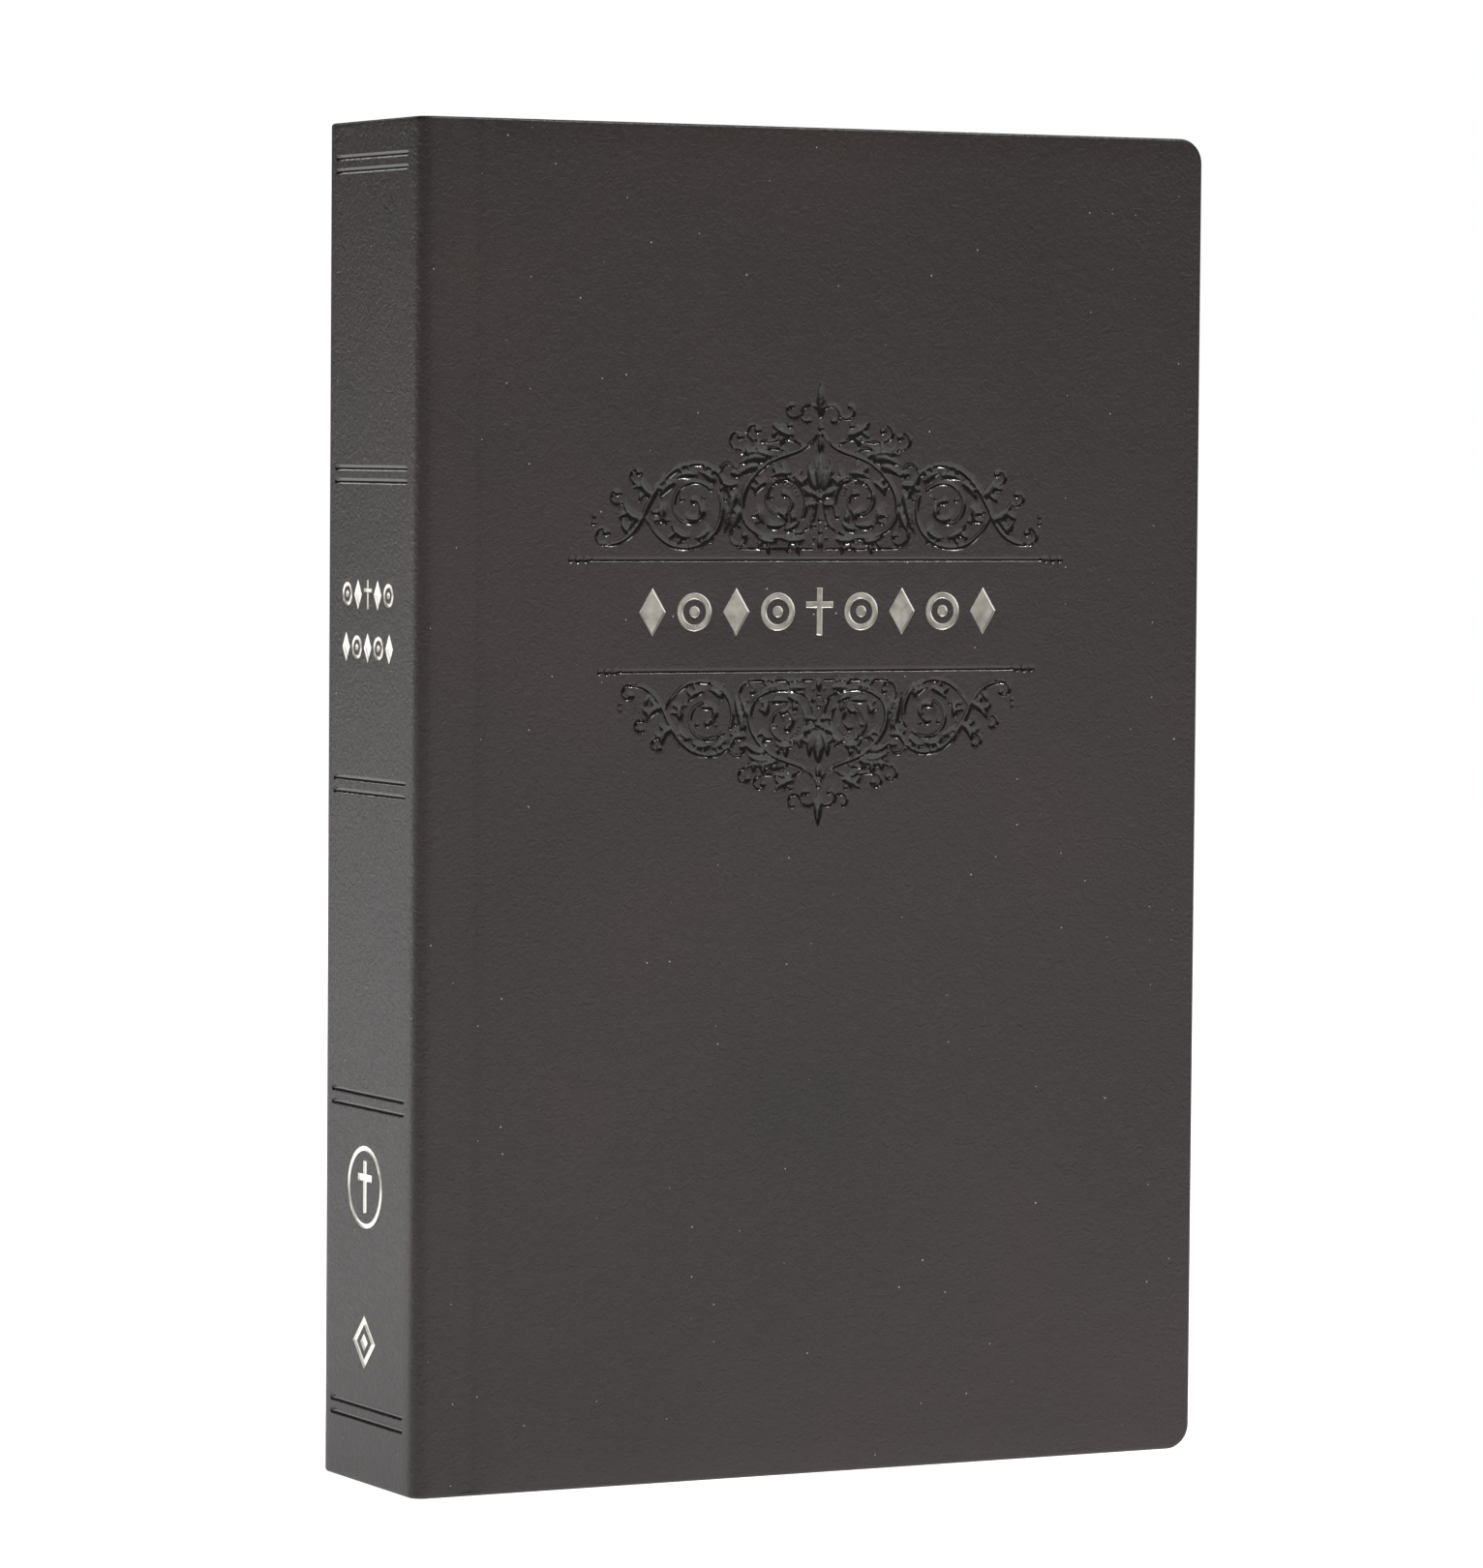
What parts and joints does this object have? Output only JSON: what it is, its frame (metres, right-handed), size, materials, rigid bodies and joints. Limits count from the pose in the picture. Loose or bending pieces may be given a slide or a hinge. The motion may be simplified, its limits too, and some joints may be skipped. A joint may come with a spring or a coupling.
{
  "type": "bible",
  "caption": "Closed softcover bible with a limp dark brown cover, flat spine, sewn thin-paper pages, covers that fold open and a middle opening with turning leaves.",
  "frame": {"origin": "middle of the tail edge that the book stands on, under the centre of the spine and fore edge", "axes": "+Z from tail to head, the front cover faces -Y, the spine faces -X and the fore edge +X"},
  "size_m": [0.141, 0.036, 0.216],
  "materials": {
    "leathersoft": "satin fine grain",
    "foil": "brushed stamping foil",
    "card": "matt",
    "endpaper": "matt",
    "pages": "matt",
    "mull": "open weave",
    "glue": "dried adhesive",
    "thread": "twisted"
  },
  "bodies": {
    "rear_half": {"spine_skin_rear": "leathersoft", "joint_card_rear": "card", "spine_lining_rear": "card", "mull_rear": "mull", "spine_glue_rear": "glue", "sewing_thread_rear": "thread", "spine_foil_rear": "foil", "flyleaf_rear": "endpaper", "middle_signature_rear": "pages", "signature_13": "pages", "signature_14": "pages", "signature_15": "pages", "signature_16": "pages", "signature_17": "pages", "signature_18": "pages", "signature_19": "pages", "signature_20": "pages", "signature_21": "pages", "signature_22": "pages", "signature_23": "pages"},
    "front_half": {"spine_skin_front": "leathersoft", "joint_card_front": "card", "spine_lining_front": "card", "mull_front": "mull", "spine_glue_front": "glue", "sewing_thread_front": "thread", "spine_foil_front": "foil", "flyleaf_front": "endpaper", "signature_01": "pages", "signature_02": "pages", "signature_03": "pages", "signature_04": "pages", "signature_05": "pages", "signature_06": "pages", "signature_07": "pages", "signature_08": "pages", "signature_09": "pages", "signature_10": "pages", "signature_11": "pages", "middle_signature_front": "pages"},
    "front_cover": {"front_cover_skin": "leathersoft", "front_cover_card": "card", "front_pastedown": "endpaper", "front_foil_row": "foil"},
    "back_cover": {"back_cover_skin": "leathersoft", "back_cover_card": "card", "back_pastedown": "endpaper"},
    "leaf_1": {"loose_leaf_1": "pages"},
    "leaf_2": {"loose_leaf_2": "pages"},
    "leaf_3": {"loose_leaf_3": "pages"}
  },
  "joints": [
    {"name": "middle_opening", "type": "hinge", "parent": "rear_half", "child": "front_half", "pos_m": [-0.0706, 0, 0.108], "axis": [0, 0, -1], "range_deg": [0, 180]},
    {"name": "front_cover_hinge", "type": "hinge", "parent": "front_half", "child": "front_cover", "pos_m": [-0.0614, -0.019, 0.108], "axis": [0, 0, -1], "range_deg": [0, 180]},
    {"name": "back_cover_hinge", "type": "hinge", "parent": "rear_half", "child": "back_cover", "pos_m": [-0.0614, 0.0181, 0.108], "axis": [0, 0, 1], "range_deg": [0, 180]},
    {"name": "leaf_1_turn", "type": "hinge", "parent": "rear_half", "child": "leaf_1", "pos_m": [-0.0706, 0, 0.108], "axis": [0, 0, -1], "range_deg": [0, 45]},
    {"name": "leaf_2_turn", "type": "hinge", "parent": "rear_half", "child": "leaf_2", "pos_m": [-0.0706, 0, 0.108], "axis": [0, 0, -1], "range_deg": [0, 90]},
    {"name": "leaf_3_turn", "type": "hinge", "parent": "rear_half", "child": "leaf_3", "pos_m": [-0.0706, 0, 0.108], "axis": [0, 0, -1], "range_deg": [0, 135]}
  ],
  "couplings": [
    {"joint": "leaf_1_turn", "follows": "middle_opening", "ratio": 0.25},
    {"joint": "leaf_2_turn", "follows": "middle_opening", "ratio": 0.5},
    {"joint": "leaf_3_turn", "follows": "middle_opening", "ratio": 0.75}
  ]
}
